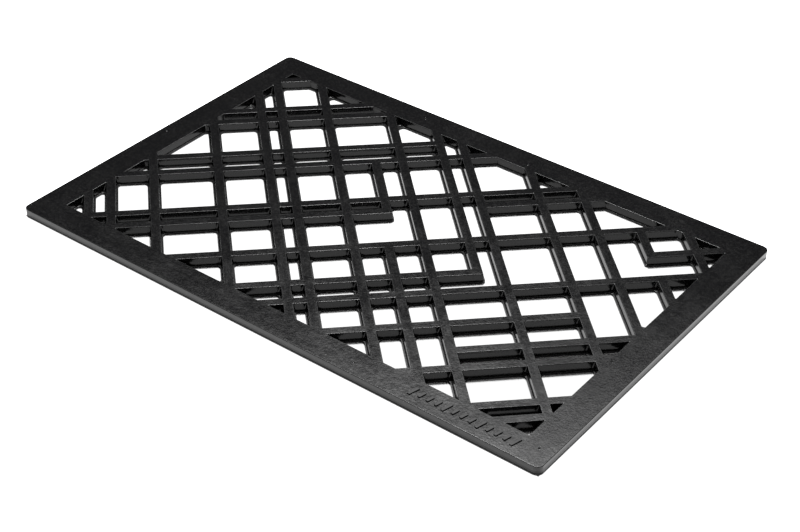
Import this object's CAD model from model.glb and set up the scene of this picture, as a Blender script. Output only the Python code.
import math

import bpy
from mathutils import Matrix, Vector
from mathutils.geometry import delaunay_2d_cdt


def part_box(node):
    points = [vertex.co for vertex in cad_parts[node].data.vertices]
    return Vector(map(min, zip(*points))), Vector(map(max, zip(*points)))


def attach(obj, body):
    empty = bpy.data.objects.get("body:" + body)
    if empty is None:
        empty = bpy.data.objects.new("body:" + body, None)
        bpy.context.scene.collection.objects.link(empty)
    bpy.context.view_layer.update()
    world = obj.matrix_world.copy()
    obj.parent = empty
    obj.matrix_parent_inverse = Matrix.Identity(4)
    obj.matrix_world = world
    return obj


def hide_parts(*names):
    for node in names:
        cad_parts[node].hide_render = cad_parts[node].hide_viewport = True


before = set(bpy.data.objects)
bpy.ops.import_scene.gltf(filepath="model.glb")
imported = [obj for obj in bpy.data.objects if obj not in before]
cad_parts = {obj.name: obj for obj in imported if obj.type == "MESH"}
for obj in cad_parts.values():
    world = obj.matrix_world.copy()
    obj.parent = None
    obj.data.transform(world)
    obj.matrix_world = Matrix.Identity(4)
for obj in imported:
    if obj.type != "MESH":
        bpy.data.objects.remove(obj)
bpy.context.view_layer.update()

DIAGONAL = math.sqrt(0.5)
MM = 0.001

# Section of the moulding: a rounded top edge, a slightly sloped wall and a thin lip at the base
TOP_EDGE_RADIUS = 0.9 * MM
TOP_MARGIN = 0.8 * MM
WALL_SLOPE_OUT = 0.7 * MM
LIP_HEIGHT = 2.6 * MM
LIP_OUT = 2.2 * MM
LIP_EDGE_RADIUS = 0.5 * MM
LIP_FILLET = 0.7 * MM
BASE_EDGE_RADIUS = 0.35 * MM

# Corners in plan
OPENING_TOP_RADIUS = 0.9 * MM
OPENING_LIP_RADIUS = 8.0 * MM
FREE_END_RADIUS = 0.8 * MM
ARC_STEPS = 6

# Gaps smaller than this are filled with rubber, and shorter sides are merged into their neighbours
SMALLEST_OPENING = 60 * MM * MM
SHORTEST_SIDE = 2.5 * MM

# Shallow round marks that the mould's pins leave in the border
PIN_MARK_RADIUS = 2.2 * MM
PIN_MARK_DEPTH = 1.6 * MM
PIN_MARK_STEPS = 20
PIN_MARKS = (
    (0.429, -0.268),
    (0.148, -0.279),
    (0.409, -0.066),
    (0.055, 0.267),
    (-0.148, 0.278),
    (-0.438, -0.010),
)

# Raised ticks
TICK_EDGE_RADIUS = 0.45 * MM
TICK_ROOT_OUT = 0.35 * MM
TICK_SINK = 0.4 * MM
TICK_FOOT_RISE = 0.05 * MM
TICK_EDGE_STEPS = 4
TICK_PLAN_RADIUS = 1.0 * MM

# How close two heights, directions or members have to be to count as the same
TOP_FACE_TOLERANCE = 0.1 * MM
STRAIGHT_ON = 0.02
SMALLEST_TURN = 0.2
SEARCH_STEP = 0.5 * MM


# ---------------------------------------------------------------- sizes taken from the frame

def plan_points(node):
    return [Vector((vertex.co.x, vertex.co.y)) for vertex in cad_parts[node].data.vertices]


def distance_range(points, direction):
    values = [direction.dot(point) for point in points]
    return min(values), max(values)


FLOOR_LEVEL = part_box("rail_back")[0].z
TOP_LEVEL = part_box("rail_back")[1].z
HALF_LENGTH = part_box("rail_right")[1].x
HALF_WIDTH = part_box("rail_back")[1].y
OPENING_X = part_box("rail_right")[0].x
OPENING_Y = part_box("rail_back")[0].y
STRAIGHT_SIDE = max(p.y for p in plan_points("rail_right") if p.x > HALF_LENGTH - 0.1 * MM)
OUTER_RADIUS = HALF_WIDTH - STRAIGHT_SIDE
JOINT_GAP = 1.0 * MM

ALONG_RISING = Vector((DIAGONAL, DIAGONAL))
ALONG_FALLING = Vector((DIAGONAL, -DIAGONAL))


def read_bars(prefix, along, across):
    bars = []
    for node in sorted(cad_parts):
        if node.startswith(prefix):
            points = plan_points(node)
            bars.append({
                "node": node,
                "points": points,
                "along": along,
                "across": across,
                "length": list(distance_range(points, along)),
                "width": distance_range(points, across),
            })
    return bars


def touches_border(point):
    return abs(point.x) > OPENING_X - JOINT_GAP or abs(point.y) > OPENING_Y - JOINT_GAP


def join_ends(bars, others):
    """Carry each end that stops against a rail or another bar on into that neighbour."""
    for bar in bars:
        width = bar["width"][1] - bar["width"][0]
        middle = sum(bar["width"]) / 2
        for index, sign in ((0, -1), (1, 1)):
            tip = bar["length"][index]
            end = [p for p in bar["points"] if abs(bar["along"].dot(p) - tip) < width * 1.2]
            if any(touches_border(p) for p in end):
                bar["length"][index] = tip + sign * width
                continue
            for other in others:
                near = other["width"][0] if sign > 0 else other["width"][1]
                covers = other["length"][0] < middle < other["length"][1]
                if covers and 0 < sign * (near - tip) < JOINT_GAP:
                    bar["length"][index] = sum(other["width"]) / 2


RISING = read_bars("rising", ALONG_RISING, ALONG_FALLING)
FALLING = read_bars("falling", ALONG_FALLING, ALONG_RISING)
join_ends(RISING, FALLING)
join_ends(FALLING, RISING)


def bar_corners(bar):
    corners = []
    for length, width in ((0, 0), (1, 0), (1, 1), (0, 1)):
        corners.append(bar["along"] * bar["length"][length] + bar["across"] * bar["width"][width])
    return corners


def owner_at(point):
    """Name of the member whose rubber is at this point of the plan, or None in an opening."""
    past_x = abs(point.x) - OPENING_X
    past_y = abs(point.y) - OPENING_Y
    if past_x > 0 or past_y > 0:
        if past_x > past_y:
            return "rail_right" if point.x > 0 else "rail_left"
        return "rail_back" if point.y > 0 else "rail_front"
    for bar in FALLING + RISING:
        length = bar["along"].dot(point)
        width = bar["across"].dot(point)
        if bar["length"][0] < length < bar["length"][1]:
            if bar["width"][0] < width < bar["width"][1]:
                return bar["node"]
    return None


def nearest_owner(point):
    """The member here, or the one that closes a gap too small to mould."""
    owner = owner_at(point)
    reach = SEARCH_STEP
    while owner is None:
        for step in range(8):
            angle = math.radians(45) * step + 0.1
            owner = owner or owner_at(point + Vector((math.cos(angle), math.sin(angle))) * reach)
        reach += SEARCH_STEP
    return owner


# ---------------------------------------------------------------- plan of the openings

def edge_key(first, second):
    return (first, second) if first < second else (second, first)


def triangle_middle(points, triangle):
    return sum((points[index] for index in triangle), Vector((0.0, 0.0))) / 3


def triangle_area(points, triangle):
    a, b, c = (points[index] for index in triangle)
    return abs((b - a).cross(c - a)) / 2


def lay_out_plan():
    """Cut the plan along every member's edge and return its points, triangles and owners."""
    points = []
    edges = []

    def add_loop(corners):
        start = len(points)
        points.extend(corners)
        for index in range(len(corners)):
            edges.append((start + index, start + (index + 1) % len(corners)))

    def rectangle(x, y):
        return [Vector((-x, -y)), Vector((x, -y)), Vector((x, y)), Vector((-x, y))]

    add_loop(rectangle(HALF_LENGTH, HALF_WIDTH))
    add_loop(rectangle(OPENING_X, OPENING_Y))
    for corner in range(4):
        edges.append((corner, corner + 4))
    for bar in RISING + FALLING:
        add_loop(bar_corners(bar))
    result = delaunay_2d_cdt(points, edges, [], 0, 1e-6, False)
    points, triangles = result[0], result[2]
    owners = [owner_at(triangle_middle(points, triangle)) for triangle in triangles]
    return points, triangles, owners


def edge_users(triangles):
    users = {}
    for number, triangle in enumerate(triangles):
        for index in range(3):
            key = edge_key(triangle[index], triangle[(index + 1) % 3])
            users.setdefault(key, []).append(number)
    return users


def connected_groups(count, links):
    """Groups of numbers below count that the pairs in links join."""
    leader = list(range(count))

    def find(number):
        while leader[number] != number:
            leader[number] = leader[leader[number]]
            number = leader[number]
        return number

    for first, second in links:
        leader[find(first)] = find(second)
    groups = {}
    for number in range(count):
        groups.setdefault(find(number), []).append(number)
    return list(groups.values())


def boundary_loop(triangles, members):
    """The outline of a group of triangles, anticlockwise."""
    following = {}
    inside = set()
    for number in members:
        triangle = triangles[number]
        for index in range(3):
            inside.add((triangle[index], triangle[(index + 1) % 3]))
    for first, second in inside:
        if (second, first) not in inside:
            following[first] = second
    start = min(following)
    loop = [start]
    while following[loop[-1]] != start:
        loop.append(following[loop[-1]])
    return loop


def outline_length(outline):
    return sum((here - outline[index - 1]).length for index, here in enumerate(outline))


def drop_straight_points(points, loop):
    kept = []
    for index, here in enumerate(loop):
        before = (points[here] - points[loop[index - 1]]).normalized()
        after = (points[loop[(index + 1) % len(loop)]] - points[here]).normalized()
        if abs(before.cross(after)) > STRAIGHT_ON:
            kept.append(here)
    return kept


def close_small_gap(triangles, owners, users, group):
    """Give a gap that is too small to mould to one of the members around it."""
    around = set()
    for number in group:
        triangle = triangles[number]
        for index in range(3):
            around.update(users[edge_key(triangle[index], triangle[(index + 1) % 3])])
    neighbour = min(owners[number] for number in around if owners[number])
    for number in group:
        owners[number] = neighbour


def corner_turn(outline, index):
    before = (outline[index] - outline[index - 1]).normalized()
    after = (outline[(index + 1) % len(outline)] - outline[index]).normalized()
    return math.atan2(before.cross(after), before.dot(after))


def drop_short_sides(outline):
    """Remove sides too short for the lip by meeting the sides before and after them."""
    outline = list(outline)
    index = 0
    while index < len(outline) and len(outline) > 3:
        count = len(outline)
        start, end = outline[index], outline[(index + 1) % count]
        if (end - start).length > SHORTEST_SIDE:
            index += 1
            continue
        before = outline[index - 1]
        after = outline[(index + 2) % count]
        meeting = meet_lines(before, start, end, after)
        if meeting is None or (meeting - start).length > 4 * SHORTEST_SIDE:
            meeting = (start + end) / 2
        outline[index] = meeting
        del outline[(index + 1) % count]
        index = 0
    return outline


def meet_lines(first, second, third, fourth):
    along, across = second - first, fourth - third
    spread = along.cross(across)
    if abs(spread) < 0.1 * along.length * across.length:
        return None
    return first + along * ((third - first).cross(across) / spread)


def deepest_inset(outline):
    """How far the sides can move into the opening before the shortest one vanishes."""
    deepest = 1.0
    for index in range(len(outline)):
        after = (index + 1) % len(outline)
        length = (outline[after] - outline[index]).length
        shrink = math.tan(corner_turn(outline, index) / 2)
        shrink += math.tan(corner_turn(outline, after) / 2)
        if shrink > 0:
            deepest = min(deepest, length / shrink)
    return deepest


def find_openings(points, triangles, owners):
    """Find the openings that are large enough to stay open."""
    users = edge_users(triangles)
    links = []
    for numbers in users.values():
        if len(numbers) == 2 and owners[numbers[0]] is None and owners[numbers[1]] is None:
            links.append(numbers)
    openings = []
    for group in connected_groups(len(triangles), links):
        if owners[group[0]] is not None:
            continue
        area = sum(triangle_area(points, triangles[number]) for number in group)
        if area < SMALLEST_OPENING:
            close_small_gap(triangles, owners, users, group)
            continue
        loop = boundary_loop(triangles, group)
        corners = drop_straight_points(points, loop)
        outline = drop_short_sides([points[corner] for corner in corners])
        openings.append({
            "loop": loop,
            "outline": outline,
            "room": min(deepest_inset(outline), 2 * area / outline_length(outline)),
        })
    return openings


def find_joints(triangles, owners):
    """Edges of the plan where one member's rubber meets another's."""
    joints = []
    for key, numbers in edge_users(triangles).items():
        if len(numbers) == 2:
            first, second = owners[numbers[0]], owners[numbers[1]]
            if first and second and first != second:
                joints.append(key)
    return joints


# ---------------------------------------------------------------- section of the walls

class Ring:
    """One level of a wall: how far out from the rubber, how high, and which way it faces."""

    def __init__(self, out, height, face_out, face_up, corner, edge=0.0, crease=0.0):
        self.out = out
        self.height = height
        self.face_out = face_out
        self.face_up = face_up
        self.corner = corner
        self.edge = edge
        self.crease = crease


def rounded_top(corner, steps=5):
    radius = TOP_EDGE_RADIUS
    rings = [Ring(-radius - TOP_MARGIN, TOP_LEVEL, 0.0, 1.0, corner)]
    for step in range(steps + 1):
        turn = math.radians(90) * step / steps
        out = -radius + radius * math.sin(turn)
        height = TOP_LEVEL - radius + radius * math.cos(turn)
        edge = 0.35 + 0.65 * math.sin(2 * turn)
        rings.append(Ring(out, height, math.sin(turn), math.cos(turn), corner, edge))
    return rings


def rounded_base(out, corner, steps=3):
    radius = BASE_EDGE_RADIUS
    rings = []
    for step in range(steps + 1):
        turn = math.radians(90) * step / steps
        level = FLOOR_LEVEL + radius - radius * math.sin(turn)
        back = radius - radius * math.cos(turn)
        rings.append(Ring(out - back, level, math.cos(turn), -math.sin(turn), corner, 0.0, 0.6))
    return rings


def opening_section(share):
    """Rings from the top face to the underside; share shrinks the lip in a small opening."""
    slope = WALL_SLOPE_OUT * share
    lip = LIP_OUT * share
    fillet = min(LIP_FILLET, lip * 0.5)
    lip_edge = min(LIP_EDGE_RADIUS, lip * 0.4)
    lip_top = FLOOR_LEVEL + LIP_HEIGHT
    top, base = OPENING_TOP_RADIUS, OPENING_LIP_RADIUS
    rings = rounded_top(top)
    foot = lip_top + fillet
    for share_down in (0.12, 0.5, 0.85):
        height = TOP_LEVEL - TOP_EDGE_RADIUS + share_down * (foot - TOP_LEVEL + TOP_EDGE_RADIUS)
        corner = top + (base - top) * share_down * 0.5
        rings.append(Ring(slope * share_down, height, 1.0, 0.06, corner, 0.0, share_down * 0.3))
    steps = 4
    for step in range(steps + 1):
        turn = math.radians(90) * step / steps
        out = slope + fillet - fillet * math.cos(turn)
        height = lip_top + fillet - fillet * math.sin(turn)
        corner = top + (base - top) * (0.5 + 0.3 * step / steps)
        rings.append(Ring(out, height, math.cos(turn), math.sin(turn), corner, 0.0, 1.0))
    for step in range(steps + 1):
        turn = math.radians(90) * step / steps
        out = slope + lip - lip_edge + lip_edge * math.sin(turn)
        height = lip_top - lip_edge + lip_edge * math.cos(turn)
        rings.append(Ring(out, height, math.sin(turn), math.cos(turn), base, 0.45, 0.2))
    return rings + rounded_base(slope + lip, base)


def border_section():
    """The outer face, with the groove of the mould's parting line near its foot."""
    rings = rounded_top(0.0)
    for height in (TOP_LEVEL - 2 * MM, (TOP_LEVEL + FLOOR_LEVEL) / 2, FLOOR_LEVEL + 4.6 * MM):
        rings.append(Ring(0.0, height, 1.0, 0.0, 0.0))
    groove = (
        (0.00, 4.1, 0.97, -0.25, 0.2),
        (-0.30, 3.8, 0.70, -0.70, 0.7),
        (-0.75, 3.5, 0.90, -0.45, 1.0),
        (-0.85, 3.2, 1.00, 0.00, 1.0),
        (-0.75, 2.9, 0.90, 0.45, 1.0),
        (-0.30, 2.6, 0.70, 0.70, 0.7),
        (0.00, 2.3, 0.97, 0.25, 0.2),
    )
    for out, height, face_out, face_up, crease in groove:
        rings.append(Ring(out * MM, FLOOR_LEVEL + height * MM, face_out, face_up, 0.0, 0.0, crease))
    rings.append(Ring(0.0, FLOOR_LEVEL + 1.2 * MM, 1.0, 0.0, 0.0))
    return rings + rounded_base(0.0, 0.0)


def ring_points(outline, ring, free_radius):
    """Points and outward directions of one ring, ARC_STEPS + 1 for each corner.

    The opening is on the left of the outline. A left turn is a hollow corner between two
    members; a right turn is a free corner of the rubber.
    """
    count = len(outline)
    legs = []
    for index in range(count):
        legs.append((outline[(index + 1) % count] - outline[index]).normalized())
    turns = []
    shifted = []
    for index in range(count):
        before, after = legs[index - 1], legs[index]
        turns.append(math.atan2(before.cross(after), before.dot(after)))
        left_before = Vector((-before.y, before.x))
        left_after = Vector((-after.y, after.x))
        bend = (left_before + left_after) / (1 + left_before.dot(left_after))
        shifted.append(outline[index] + bend * ring.out)
    placed = []
    for index in range(count):
        before, turn = legs[index - 1], turns[index]
        side = 1 if turn > 0 else -1
        radius = ring.corner if turn > 0 else free_radius + max(ring.out, -free_radius * 0.6)
        room = min((shifted[index] - shifted[index - 1]).length,
                   (shifted[(index + 1) % count] - shifted[index]).length)
        half_turn = math.tan(abs(turn) / 2)
        radius = max(min(radius, 0.36 * room / half_turn), 0.05 * MM)
        left = Vector((-before.y, before.x))
        centre = shifted[index] - before * radius * half_turn + left * radius * side
        for step in range(ARC_STEPS + 1):
            angle = turn * step / ARC_STEPS
            cosine, sine = math.cos(angle), math.sin(angle)
            facing = Vector((left.x * cosine - left.y * sine, left.x * sine + left.y * cosine))
            placed.append((centre - facing * radius * side, facing))
    return placed


# ---------------------------------------------------------------- building the skin

class Skin:
    """All the surface points of the moulding, and which faces belong to which member."""

    def __init__(self):
        self.points = []
        self.facing = []
        self.edge = []
        self.crease = []
        self.faces = {}

    def add_point(self, position, facing, edge=0.0, crease=0.0):
        self.points.append(position)
        self.facing.append(facing.normalized())
        self.edge.append(edge)
        self.crease.append(crease)
        return len(self.points) - 1

    def add_face(self, owner, corners):
        self.faces.setdefault(owner, []).append(corners)

    def add_ring(self, outline, ring, free_radius):
        numbers = []
        for place, facing in ring_points(outline, ring, free_radius):
            position = Vector((place.x, place.y, ring.height))
            normal = Vector((facing.x * ring.face_out, facing.y * ring.face_out, ring.face_up))
            numbers.append(self.add_point(position, normal, ring.edge, ring.crease))
        return numbers

    def add_wall(self, outline, rings, owners, free_radius):
        """Rings joined from top to bottom. Returns the top and bottom ring's point numbers."""
        levels = [self.add_ring(outline, ring, free_radius) for ring in rings]
        count = len(levels[0])
        span = ARC_STEPS + 1
        for upper, lower in zip(levels, levels[1:]):
            for index in range(count):
                after = (index + 1) % count
                corner, step = divmod(index, span)
                before_middle = step < span // 2
                owner = owners[corner - 1] if before_middle else owners[corner]
                self.add_face(owner, (upper[index], upper[after], lower[after], lower[index]))
        return levels[0], levels[-1]


def edge_owners(outline):
    """The member on the rubber side of each edge of an outline."""
    owners = []
    count = len(outline)
    for index in range(count):
        start, end = outline[index], outline[(index + 1) % count]
        leg = (end - start).normalized()
        rubber_side = Vector((leg.y, -leg.x))
        owners.append(owner_at((start + end) / 2 + rubber_side * SEARCH_STEP))
    return owners


def middle_of_corner(ring, corner):
    return ring[corner * (ARC_STEPS + 1) + ARC_STEPS // 2]


def fill_level(skin, loops, joints, upward, blind=()):
    """Cover the flat top or underside between the loops, one group of faces per member."""
    numbers = []
    edges = []
    for loop in list(loops) + list(blind):
        start = len(numbers)
        numbers.extend(loop)
        for index in range(len(loop)):
            edges.append((start + index, start + (index + 1) % len(loop)))
    place = {number: index for index, number in enumerate(numbers)}
    for first, second in joints:
        for number in (first, second):
            if number not in place:
                place[number] = len(numbers)
                numbers.append(number)
        if place[first] != place[second]:
            edges.append((place[first], place[second]))
    flat = [skin.points[number].to_2d() for number in numbers]
    result = delaunay_2d_cdt(flat, edges, [], 0, 1e-7, True)
    flat, all_edges, triangles, source, edge_source = result[:5]
    level = skin.points[numbers[0]].z
    facing = Vector((0.0, 0.0, 1.0 if upward else -1.0))
    final = []
    for index, point in enumerate(flat):
        if source[index]:
            final.append(numbers[source[index][0]])
        else:
            final.append(skin.add_point(Vector((point.x, point.y, level)), facing))
    walls = set()
    for index, edge in enumerate(all_edges):
        if edge_source[index]:
            walls.add(edge_key(*edge))
    links = []
    for key, users in edge_users(triangles).items():
        if len(users) == 2 and key not in walls:
            links.append(users)
    rims = [[skin.points[number].to_2d() for number in loop] for loop in list(loops)[1:]]
    rims += [[skin.points[number].to_2d() for number in loop] for loop in blind]
    for group in connected_groups(len(triangles), links):
        votes = {}
        for number in group:
            owner = nearest_owner(triangle_middle(flat, triangles[number]))
            votes[owner] = votes.get(owner, 0.0) + triangle_area(flat, triangles[number])
        if group_is_open(flat, triangles, group, rims):
            continue
        owner = max(votes, key=votes.get)
        for number in group:
            corners = tuple(final[index] for index in triangles[number])
            skin.add_face(owner, corners if upward else corners[::-1])


def inside_outline(point, outline):
    inside = False
    for index, here in enumerate(outline):
        before = outline[index - 1]
        if (here.y > point.y) != (before.y > point.y):
            crossing = here.x + (point.y - here.y) * (before.x - here.x) / (before.y - here.y)
            if point.x < crossing:
                inside = not inside
    return inside


def group_is_open(points, triangles, group, rims):
    """True where a group of triangles lies within an opening or outside the mat."""
    biggest = max(group, key=lambda number: triangle_area(points, triangles[number]))
    middle = triangle_middle(points, triangles[biggest])
    if abs(middle.x) > HALF_LENGTH or abs(middle.y) > HALF_WIDTH:
        return True
    return any(inside_outline(middle, rim) for rim in rims)


def add_pin_mark(skin, centre):
    """A shallow dished pit with a soft rim. Returns its rim's point numbers."""
    owner = owner_at(centre)
    profile = (
        (1.00, 0.00, 0.0, 0.0),
        (0.90, 0.06, 0.5, 0.6),
        (0.74, 0.45, 1.2, 0.2),
        (0.62, 0.90, 0.7, 0.0),
        (0.30, 1.00, 0.1, 0.0),
    )
    levels = []
    for reach, sink, slope, edge in profile:
        ring = []
        for step in range(PIN_MARK_STEPS):
            angle = math.radians(360) * step / PIN_MARK_STEPS
            out = Vector((math.cos(angle), math.sin(angle)))
            place = centre + out * PIN_MARK_RADIUS * reach
            position = Vector((place.x, place.y, TOP_LEVEL - PIN_MARK_DEPTH * sink))
            facing = Vector((-out.x * slope, -out.y * slope, 1.0))
            ring.append(skin.add_point(position, facing, edge, sink))
        levels.append(ring)
    for upper, lower in zip(levels, levels[1:]):
        for index in range(PIN_MARK_STEPS):
            after = (index + 1) % PIN_MARK_STEPS
            skin.add_face(owner, (upper[index], upper[after], lower[after], lower[index]))
    skin.add_face(owner, tuple(levels[-1]))
    return levels[0]


def build_skin():
    """The whole moulding: outer face, opening walls, top with its pin marks, and underside."""
    points, triangles, owners = lay_out_plan()
    openings = find_openings(points, triangles, owners)
    skin = Skin()
    corner_of_plan = {}
    full_lip = WALL_SLOPE_OUT + LIP_OUT
    outer = [Vector((-HALF_LENGTH, -HALF_WIDTH)), Vector((-HALF_LENGTH, HALF_WIDTH)),
             Vector((HALF_LENGTH, HALF_WIDTH)), Vector((HALF_LENGTH, -HALF_WIDTH))]
    outer_owners = ["rail_left", "rail_back", "rail_right", "rail_front"]
    top, bottom = skin.add_wall(outer, border_section(), outer_owners, OUTER_RADIUS)
    top_loops, bottom_loops = [top], [bottom]
    for index, place in enumerate(outer):
        nearest = min(range(len(points)), key=lambda number: (points[number] - place).length)
        corner_of_plan[nearest] = (middle_of_corner(top, index), middle_of_corner(bottom, index))
    for opening in openings:
        share = min(1.0, 0.6 * opening["room"] / full_lip)
        outline = opening["outline"]
        rings = opening_section(share)
        top, bottom = skin.add_wall(outline, rings, edge_owners(outline), FREE_END_RADIUS)
        top_loops.append(top)
        bottom_loops.append(bottom)
        ends = []
        for index in range(len(outline)):
            ends.append((middle_of_corner(top, index), middle_of_corner(bottom, index)))
        for number in opening["loop"]:
            nearest = min(
                range(len(outline)),
                key=lambda corner: (outline[corner] - points[number]).length,
            )
            corner_of_plan[number] = ends[nearest]
    joints = find_joints(triangles, owners)
    for level, height, upward in ((0, TOP_LEVEL, True), (1, FLOOR_LEVEL, False)):
        extra = {}
        edges = []
        for key in joints:
            ends = []
            for number in key:
                if number in corner_of_plan:
                    ends.append(corner_of_plan[number][level])
                    continue
                if number not in extra:
                    place = points[number]
                    facing = Vector((0.0, 0.0, 1.0 if upward else -1.0))
                    extra[number] = skin.add_point(Vector((place.x, place.y, height)), facing)
                ends.append(extra[number])
            edges.append(ends)
        blind = []
        if upward:
            blind = [add_pin_mark(skin, Vector(place)) for place in PIN_MARKS]
        fill_level(skin, (top_loops, bottom_loops)[level], edges, upward, blind)
    return skin


def add_mesh_object(name, points, faces, facing=None, masks=None):
    mesh = bpy.data.meshes.new(name)
    mesh.from_pydata(points, [], faces)
    for polygon in mesh.polygons:
        polygon.use_smooth = True
    for mask, values in (masks or {}).items():
        layer = mesh.attributes.new(mask, "FLOAT", "POINT")
        layer.data.foreach_set("value", values)
    if facing:
        mesh.normals_split_custom_set_from_vertices(facing)
    mesh.update()
    item = bpy.data.objects.new(name, mesh)
    bpy.context.scene.collection.objects.link(item)
    return item


def split_skin(skin):
    """One object for each member, each with the part of the surface that it owns."""
    members = {}
    for owner, faces in skin.faces.items():
        local = {}
        for face in faces:
            for number in face:
                local.setdefault(number, len(local))
        order = list(local)
        members[owner] = add_mesh_object(
            owner + "_rubber",
            [skin.points[number] for number in order],
            [[local[number] for number in face] for face in faces],
            [skin.facing[number] for number in order],
            {
                "edge_mask": [skin.edge[number] for number in order],
                "crease_mask": [skin.crease[number] for number in order],
            },
        )
    return members


def read_ticks():
    """Corner sets of the raised ticks, from the highest faces of the front rail."""
    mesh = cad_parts["rail_front"].data
    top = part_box("rail_front")[1].z
    corners = []
    place_of = {}
    links = []
    for polygon in mesh.polygons:
        places = [mesh.vertices[number].co for number in polygon.vertices]
        if min(place.z for place in places) < top - TOP_FACE_TOLERANCE:
            continue
        members = []
        for place in places:
            key = (round(place.x / MM, 2), round(place.y / MM, 2))
            if key not in place_of:
                place_of[key] = len(corners)
                corners.append(place.copy())
            members.append(place_of[key])
        links += [(members[0], other) for other in members[1:]]
    groups = connected_groups(len(corners), links)
    return [[corners[number] for number in group] for group in groups], top


def build_ticks():
    """The row of raised ticks on the front rail, as one piece."""
    groups, top = read_ticks()
    points, faces, facing, edges, creases = [], [], [], [], []
    for group in groups:
        centre = sum((corner.xy for corner in group), Vector((0.0, 0.0))) / len(group)
        outline = sorted(
            (corner.xy for corner in group),
            key=lambda place: -math.atan2(place.y - centre.y, place.x - centre.x),
        )
        outline = [
            place for index, place in enumerate(outline)
            if abs(corner_turn(outline, index)) > SMALLEST_TURN
        ]
        radius = TICK_EDGE_RADIUS
        rings = []
        for step in range(TICK_EDGE_STEPS + 1):
            turn = math.radians(90) * step / TICK_EDGE_STEPS
            out = -radius + radius * math.sin(turn)
            height = top - radius + radius * math.cos(turn)
            rings.append(Ring(out, height, math.sin(turn), math.cos(turn), 0.0, 0.8))
        rings.append(Ring(TICK_ROOT_OUT, TOP_LEVEL + TICK_FOOT_RISE, 0.8, 0.6, 0.0, 0.0, 1.0))
        rings.append(Ring(TICK_ROOT_OUT, TOP_LEVEL - TICK_SINK, 1.0, 0.0, 0.0, 0.0, 1.0))
        levels = []
        for ring in rings:
            level = []
            for place, direction in ring_points(outline, ring, TICK_PLAN_RADIUS):
                level.append(len(points))
                points.append(Vector((place.x, place.y, ring.height)))
                facing.append(Vector((direction.x * ring.face_out, direction.y * ring.face_out,
                                      ring.face_up)).normalized())
                edges.append(ring.edge)
                creases.append(ring.crease)
            levels.append(level)
        count = len(levels[0])
        for upper, lower in zip(levels, levels[1:]):
            for index in range(count):
                after = (index + 1) % count
                faces.append((upper[index], upper[after], lower[after], lower[index]))
        faces.append(tuple(reversed(levels[0])))
        faces.append(tuple(levels[-1]))
    masks = {"edge_mask": edges, "crease_mask": creases}
    return add_mesh_object("front_rail_ticks", points, faces, facing, masks)


# ---------------------------------------------------------------- rubber finish

RUBBER_COLOUR = (0.0020, 0.0020, 0.0023, 1.0)
RUBBER_DUSTY = (0.055, 0.054, 0.052, 1.0)
RUBBER_WORN = (0.0065, 0.0065, 0.0072, 1.0)

# How strongly each mark shows in the colour
CLOUD_SHARE = 0.75
SMEAR_SHARE = 0.25
RUBBED_SHARE = 0.5
SPECK_SHARE = 0.14
DUST_SHARE = 0.10
SCORE_SHARE = 0.10

# Roughness of the cloudy top, and what each mark adds to it
DULL_ROUGHNESS = 0.28
GLOSSY_ROUGHNESS = 0.14
SMEAR_ROUGHNESS = -0.04
WALL_ROUGHNESS = -0.13
RUBBED_ROUGHNESS = 0.30
DUST_ROUGHNESS = 0.12

RUBBER_IOR = 1.5
TOP_SPECULAR = 0.5
WALL_SPECULAR = 0.34
GRAIN_STRENGTH = 0.5
GRAIN_DEPTH = 0.0002
SCORE_HEIGHT = 0.9
WALL_GRAIN_SHARE = 0.25

# Depth of the lines along each kind of member, and how much duller the ticks are
RAIL_BRUSH = 0.1
RISING_BRUSH = 0.9
FALLING_BRUSH = 0.4
TICK_MATT = 0.22


def new_group(name, inputs, outputs):
    group = bpy.data.node_groups.new(name, "ShaderNodeTree")
    for label, kind in inputs:
        group.interface.new_socket(label, in_out="INPUT", socket_type=kind)
    for label, kind in outputs:
        group.interface.new_socket(label, in_out="OUTPUT", socket_type=kind)
    entry = group.nodes.new("NodeGroupInput")
    leave = group.nodes.new("NodeGroupOutput")
    return group, entry, leave


def add_noise(tree, place, scale, detail, roughness=0.5):
    noise = tree.nodes.new("ShaderNodeTexNoise")
    noise.inputs["Scale"].default_value = scale
    noise.inputs["Detail"].default_value = detail
    noise.inputs["Roughness"].default_value = roughness
    tree.links.new(place, noise.inputs["Vector"])
    return noise.outputs["Fac"]


def add_math(tree, operation, first, second=0.5, third=0.5, clamp=False):
    math_node = tree.nodes.new("ShaderNodeMath")
    math_node.operation = operation
    math_node.use_clamp = clamp
    for index, value in enumerate((first, second, third)):
        if isinstance(value, (int, float)):
            math_node.inputs[index].default_value = value
        else:
            tree.links.new(value, math_node.inputs[index])
    return math_node.outputs["Value"]


def add_range(tree, value, low, high, new_low, new_high):
    node = tree.nodes.new("ShaderNodeMapRange")
    node.inputs["From Min"].default_value = low
    node.inputs["From Max"].default_value = high
    node.inputs["To Min"].default_value = new_low
    node.inputs["To Max"].default_value = new_high
    tree.links.new(value, node.inputs["Value"])
    return node.outputs["Result"]


def add_colour_mix(tree, share, first, second):
    mix = tree.nodes.new("ShaderNodeMix")
    mix.data_type = "RGBA"
    tree.links.new(share, mix.inputs["Factor"])
    colours = [socket for socket in mix.inputs if socket.type == "RGBA"]
    for socket, value in zip(colours, (first, second)):
        if isinstance(value, tuple):
            socket.default_value = value
        else:
            tree.links.new(value, socket)
    return [socket for socket in mix.outputs if socket.type == "RGBA"][0]


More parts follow.
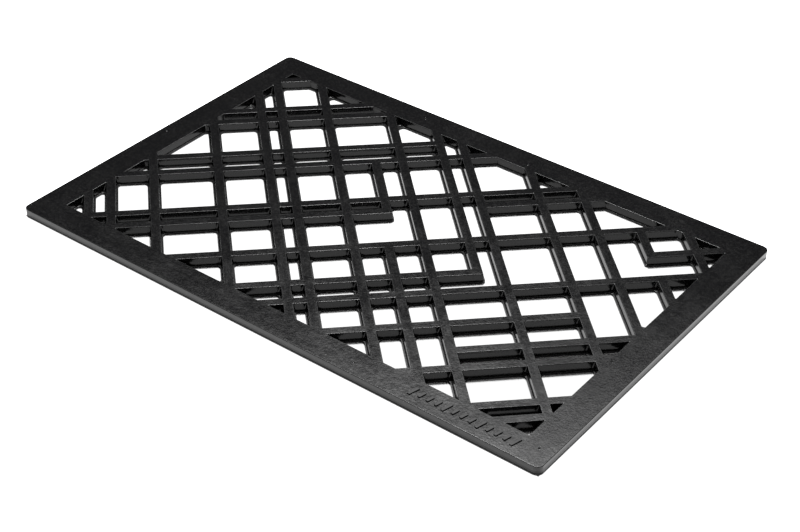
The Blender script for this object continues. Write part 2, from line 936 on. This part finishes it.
def make_grain_group():
    """Fine mould grain, slower ripple and cloudy mottling of moulded rubber."""
    group, entry, leave = new_group(
        "rubber_grain",
        (("Place", "NodeSocketVector"),),
        (("Height", "NodeSocketFloat"), ("Mottle", "NodeSocketFloat"), ("Speckle", "NodeSocketFloat")),
    )
    place = entry.outputs["Place"]
    fine = add_noise(group, place, scale=1100.0, detail=3.0, roughness=0.6)
    coarse = add_noise(group, place, scale=300.0, detail=3.0, roughness=0.6)
    ripple = add_noise(group, place, scale=70.0, detail=2.0)
    cloud = add_noise(group, place, scale=16.0, detail=3.0, roughness=0.6)
    patch = add_noise(group, place, scale=180.0, detail=4.0, roughness=0.7)
    height = add_math(group, "MULTIPLY_ADD", fine, 0.30, add_math(group, "MULTIPLY", coarse, 1.6))
    height = add_math(group, "MULTIPLY_ADD", ripple, 1.2, height)
    mottle = add_math(group, "MULTIPLY_ADD", cloud, 0.40, add_math(group, "MULTIPLY", patch, 0.60))
    group.links.new(height, leave.inputs["Height"])
    group.links.new(mottle, leave.inputs["Mottle"])
    group.links.new(add_range(group, coarse, 0.50, 0.61, 0.0, 1.0), leave.inputs["Speckle"])
    return group


def make_streak_group():
    """Faint smears along the length of a member, and the tool lines around its walls."""
    group, entry, leave = new_group(
        "rubber_streaks",
        (("Place", "NodeSocketVector"), ("Turn", "NodeSocketVector")),
        (("Streak", "NodeSocketFloat"), ("Brush Lines", "NodeSocketFloat"),
         ("Tool Lines", "NodeSocketFloat")),
    )
    turn = group.nodes.new("ShaderNodeVectorRotate")
    turn.rotation_type = "EULER_XYZ"
    group.links.new(entry.outputs["Place"], turn.inputs["Vector"])
    group.links.new(entry.outputs["Turn"], turn.inputs["Rotation"])
    smears = group.nodes.new("ShaderNodeVectorMath")
    smears.operation = "MULTIPLY"
    smears.inputs[1].default_value = (7.0, 150.0, 30.0)
    group.links.new(turn.outputs["Vector"], smears.inputs[0])
    streak = add_noise(group, smears.outputs["Vector"], scale=1.0, detail=4.0, roughness=0.62)
    group.links.new(add_range(group, streak, 0.35, 0.68, 0.0, 1.0), leave.inputs["Streak"])
    brush = group.nodes.new("ShaderNodeVectorMath")
    brush.operation = "MULTIPLY"
    brush.inputs[1].default_value = (22.0, 1100.0, 60.0)
    group.links.new(turn.outputs["Vector"], brush.inputs[0])
    brushed = add_noise(group, brush.outputs["Vector"], scale=1.0, detail=3.0, roughness=0.6)
    group.links.new(brushed, leave.inputs["Brush Lines"])
    lines = group.nodes.new("ShaderNodeVectorMath")
    lines.operation = "MULTIPLY"
    lines.inputs[1].default_value = (9.0, 9.0, 620.0)
    group.links.new(entry.outputs["Place"], lines.inputs[0])
    line = add_noise(group, lines.outputs["Vector"], scale=1.0, detail=2.0, roughness=0.5)
    group.links.new(line, leave.inputs["Tool Lines"])
    return group


def make_wear_group():
    """Where edges are rubbed smooth and where dust settles."""
    group, entry, leave = new_group(
        "rubber_wear",
        (("Edge", "NodeSocketFloat"), ("Crease", "NodeSocketFloat"), ("Mottle", "NodeSocketFloat")),
        (("Rubbed", "NodeSocketFloat"), ("Dust", "NodeSocketFloat")),
    )
    patchy = add_range(group, entry.outputs["Mottle"], 0.38, 0.6, 0.45, 1.0)
    rubbed = add_math(group, "MULTIPLY", entry.outputs["Edge"], patchy, clamp=True)
    dust = add_math(group, "MULTIPLY", entry.outputs["Crease"], patchy, clamp=True)
    group.links.new(rubbed, leave.inputs["Rubbed"])
    group.links.new(dust, leave.inputs["Dust"])
    return group


def add_group(tree, group, **sources):
    node = tree.nodes.new("ShaderNodeGroup")
    node.node_tree = group
    for label, source in sources.items():
        tree.links.new(source, node.inputs[label])
    return node


def mask_of(tree, name):
    node = tree.nodes.new("ShaderNodeAttribute")
    node.attribute_name = name
    return node.outputs["Fac"]


def make_rubber(name, turn, brush, matt=0.0):
    """Black rubber: turn sets its smears' direction, brush their depth, matt dulls its sheen."""
    material = bpy.data.materials.new(name)
    material.use_nodes = True
    tree = material.node_tree
    shader = tree.nodes["Principled BSDF"]
    place = tree.nodes.new("ShaderNodeTexCoord").outputs["Object"]
    grain = add_group(tree, GRAIN, Place=place)
    streaks = add_group(tree, STREAKS, Place=place)
    streaks.inputs["Turn"].default_value = (0.0, 0.0, turn)
    wear = add_group(
        tree, WEAR,
        Edge=mask_of(tree, "edge_mask"),
        Crease=mask_of(tree, "crease_mask"),
        Mottle=grain.outputs["Mottle"],
    )
    facing = tree.nodes.new("ShaderNodeSeparateXYZ")
    tree.links.new(tree.nodes.new("ShaderNodeNewGeometry").outputs["Normal"], facing.inputs["Vector"])
    wall = add_range(tree, facing.outputs["Z"], 0.85, 0.25, 0.0, 1.0)
    cloudy = add_range(tree, grain.outputs["Mottle"], 0.40, 0.66, 0.0, CLOUD_SHARE)
    colour = add_colour_mix(tree, cloudy, RUBBER_COLOUR, RUBBER_WORN)
    smeared = add_math(tree, "MULTIPLY", streaks.outputs["Streak"], SMEAR_SHARE)
    colour = add_colour_mix(tree, smeared, colour, RUBBER_WORN)
    rubbed = add_math(tree, "MULTIPLY", wear.outputs["Rubbed"], RUBBED_SHARE)
    colour = add_colour_mix(tree, rubbed, colour, RUBBER_WORN)
    specks = add_math(tree, "MULTIPLY", grain.outputs["Speckle"], SPECK_SHARE)
    colour = add_colour_mix(tree, specks, colour, RUBBER_DUSTY)
    dusty = add_math(tree, "MULTIPLY", wear.outputs["Dust"], DUST_SHARE)
    colour = add_colour_mix(tree, dusty, colour, RUBBER_DUSTY)
    scored = add_range(tree, streaks.outputs["Tool Lines"], 0.50, 0.66, 0.0, SCORE_SHARE)
    colour = add_colour_mix(tree, add_math(tree, "MULTIPLY", scored, wall), colour, RUBBER_DUSTY)
    rough = add_range(
        tree, grain.outputs["Mottle"],
        0.36, 0.64, DULL_ROUGHNESS + matt, GLOSSY_ROUGHNESS + matt,
    )
    rough = add_math(tree, "MULTIPLY_ADD", streaks.outputs["Streak"], SMEAR_ROUGHNESS, rough)
    rough = add_math(tree, "MULTIPLY_ADD", wall, WALL_ROUGHNESS, rough)
    rough = add_math(tree, "MULTIPLY_ADD", wear.outputs["Rubbed"], RUBBED_ROUGHNESS, rough)
    rough = add_math(tree, "MULTIPLY_ADD", wear.outputs["Dust"], DUST_ROUGHNESS, rough, clamp=True)
    lines = add_math(tree, "MULTIPLY", streaks.outputs["Tool Lines"], wall)
    brushed = add_math(
        tree, "MULTIPLY_ADD", streaks.outputs["Brush Lines"], brush, grain.outputs["Height"]
    )
    level = add_range(tree, wall, 0.0, 1.0, 1.0, WALL_GRAIN_SHARE)
    faded = add_math(tree, "MULTIPLY", brushed, level)
    height = add_math(tree, "MULTIPLY_ADD", lines, SCORE_HEIGHT, faded)
    bump = tree.nodes.new("ShaderNodeBump")
    bump.inputs["Strength"].default_value = GRAIN_STRENGTH
    bump.inputs["Distance"].default_value = GRAIN_DEPTH
    tree.links.new(height, bump.inputs["Height"])
    tree.links.new(colour, shader.inputs["Base Color"])
    tree.links.new(rough, shader.inputs["Roughness"])
    tree.links.new(bump.outputs["Normal"], shader.inputs["Normal"])
    specular = add_range(tree, wall, 0.0, 1.0, TOP_SPECULAR, WALL_SPECULAR)
    tree.links.new(specular, shader.inputs["Specular IOR Level"])
    shader.inputs["IOR"].default_value = RUBBER_IOR
    return material


GRAIN = make_grain_group()
STREAKS = make_streak_group()
WEAR = make_wear_group()
RAIL_RUBBER = make_rubber("rail_rubber", 0.0, RAIL_BRUSH)
SIDE_RAIL_RUBBER = make_rubber("side_rail_rubber", math.radians(90), RAIL_BRUSH)
TICK_RUBBER = make_rubber("tick_rubber", 0.0, RAIL_BRUSH, TICK_MATT)
RISING_RUBBER = make_rubber("rising_bar_rubber", math.radians(-45), RISING_BRUSH)
FALLING_RUBBER = make_rubber("falling_bar_rubber", math.radians(45), FALLING_BRUSH)


def finish_piece(item, material):
    item.data.materials.append(material)
    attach(item, "root")


for node, item in split_skin(build_skin()).items():
    if node.startswith("rising"):
        finish_piece(item, RISING_RUBBER)
    elif node.startswith("falling"):
        finish_piece(item, FALLING_RUBBER)
    elif node in ("rail_left", "rail_right"):
        finish_piece(item, SIDE_RAIL_RUBBER)
    else:
        finish_piece(item, RAIL_RUBBER)
    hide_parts(node)
finish_piece(build_ticks(), TICK_RUBBER)


# ---------------------------------------------------------------- floor, light and camera

FLOOR_REACH = 40.0
FLOOR_DROP = 0.3 * MM
FLOOR_WHITE = (0.93, 0.93, 0.93, 1.0)
FLOOR_ROUGHNESS = 0.9
FLOOR_GLOW = 1.12
GLOW_SETBACK = 2 * MM
CAMERA_LENS = 76.67
CAMERA_PLACE = (1.2119, -1.6378, 1.3934)
CAMERA_TURN = (54.611, -1.418, 37.197)


def make_floor():
    """White floor. It glows around the mat, and inside the border only the lights show it."""
    level = FLOOR_LEVEL - FLOOR_DROP
    sides = ((-1, -1), (1, -1), (1, 1), (-1, 1))
    corners = [Vector((x * FLOOR_REACH, y * FLOOR_REACH, level)) for x, y in sides]
    floor = add_mesh_object("studio_floor", corners, [(0, 1, 2, 3)])
    material = bpy.data.materials.new("white_studio_floor")
    material.use_nodes = True
    tree = material.node_tree
    shader = tree.nodes["Principled BSDF"]
    shader.inputs["Base Color"].default_value = FLOOR_WHITE
    shader.inputs["Roughness"].default_value = FLOOR_ROUGHNESS
    shader.inputs["Specular IOR Level"].default_value = 0.1
    shader.inputs["Emission Color"].default_value = (1.0, 1.0, 1.0, 1.0)
    parts = tree.nodes.new("ShaderNodeSeparateXYZ")
    tree.links.new(tree.nodes.new("ShaderNodeTexCoord").outputs["Object"], parts.inputs["Vector"])
    past_x = add_math(tree, "GREATER_THAN", add_math(tree, "ABSOLUTE", parts.outputs["X"]),
                      HALF_LENGTH - GLOW_SETBACK)
    past_y = add_math(tree, "GREATER_THAN", add_math(tree, "ABSOLUTE", parts.outputs["Y"]),
                      HALF_WIDTH - GLOW_SETBACK)
    outside = add_math(tree, "MAXIMUM", past_x, past_y)
    glow = add_math(tree, "MULTIPLY", outside, FLOOR_GLOW)
    tree.links.new(glow, shader.inputs["Emission Strength"])
    floor.data.materials.append(material)


def add_softbox(name, azimuth, elevation, distance, size, power):
    """A soft panel facing the mat. Azimuth turns from the back towards the right."""
    turn, tilt = math.radians(azimuth), math.radians(elevation)
    towards = Vector((math.sin(turn) * math.cos(tilt), math.cos(turn) * math.cos(tilt), math.sin(tilt)))
    light = bpy.data.lights.new(name, "AREA")
    light.shape = "RECTANGLE"
    light.size, light.size_y = size
    light.energy = power
    item = bpy.data.objects.new(name, light)
    item.location = towards * distance
    item.rotation_euler = towards.to_track_quat("Z", "Y").to_euler()
    bpy.context.scene.collection.objects.link(item)


def set_world(brightness):
    world = bpy.data.worlds.new("dim_room")
    world.use_nodes = True
    background = world.node_tree.nodes["Background"]
    background.inputs["Color"].default_value = (1.0, 1.0, 1.0, 1.0)
    background.inputs["Strength"].default_value = brightness
    bpy.context.scene.world = world


def add_camera():
    lens = bpy.data.cameras.new("viewing_camera")
    lens.lens = CAMERA_LENS
    lens.sensor_width = 36.0
    lens.clip_end = 200.0
    item = bpy.data.objects.new("viewing_camera", lens)
    item.location = CAMERA_PLACE
    item.rotation_euler = [math.radians(angle) for angle in CAMERA_TURN]
    bpy.context.scene.collection.objects.link(item)
    bpy.context.scene.camera = item


make_floor()
set_world(brightness=0.03)
add_softbox(
    "wide_back_softbox",
    azimuth=-38.0, elevation=63.5, distance=3.0, size=(2.2, 2.0), power=31.0,
)
add_softbox(
    "high_key_softbox",
    azimuth=-35.0, elevation=65.0, distance=3.0, size=(0.40, 0.40), power=101.0,
)
add_camera()
bpy.context.scene.view_settings.view_transform = "Standard"
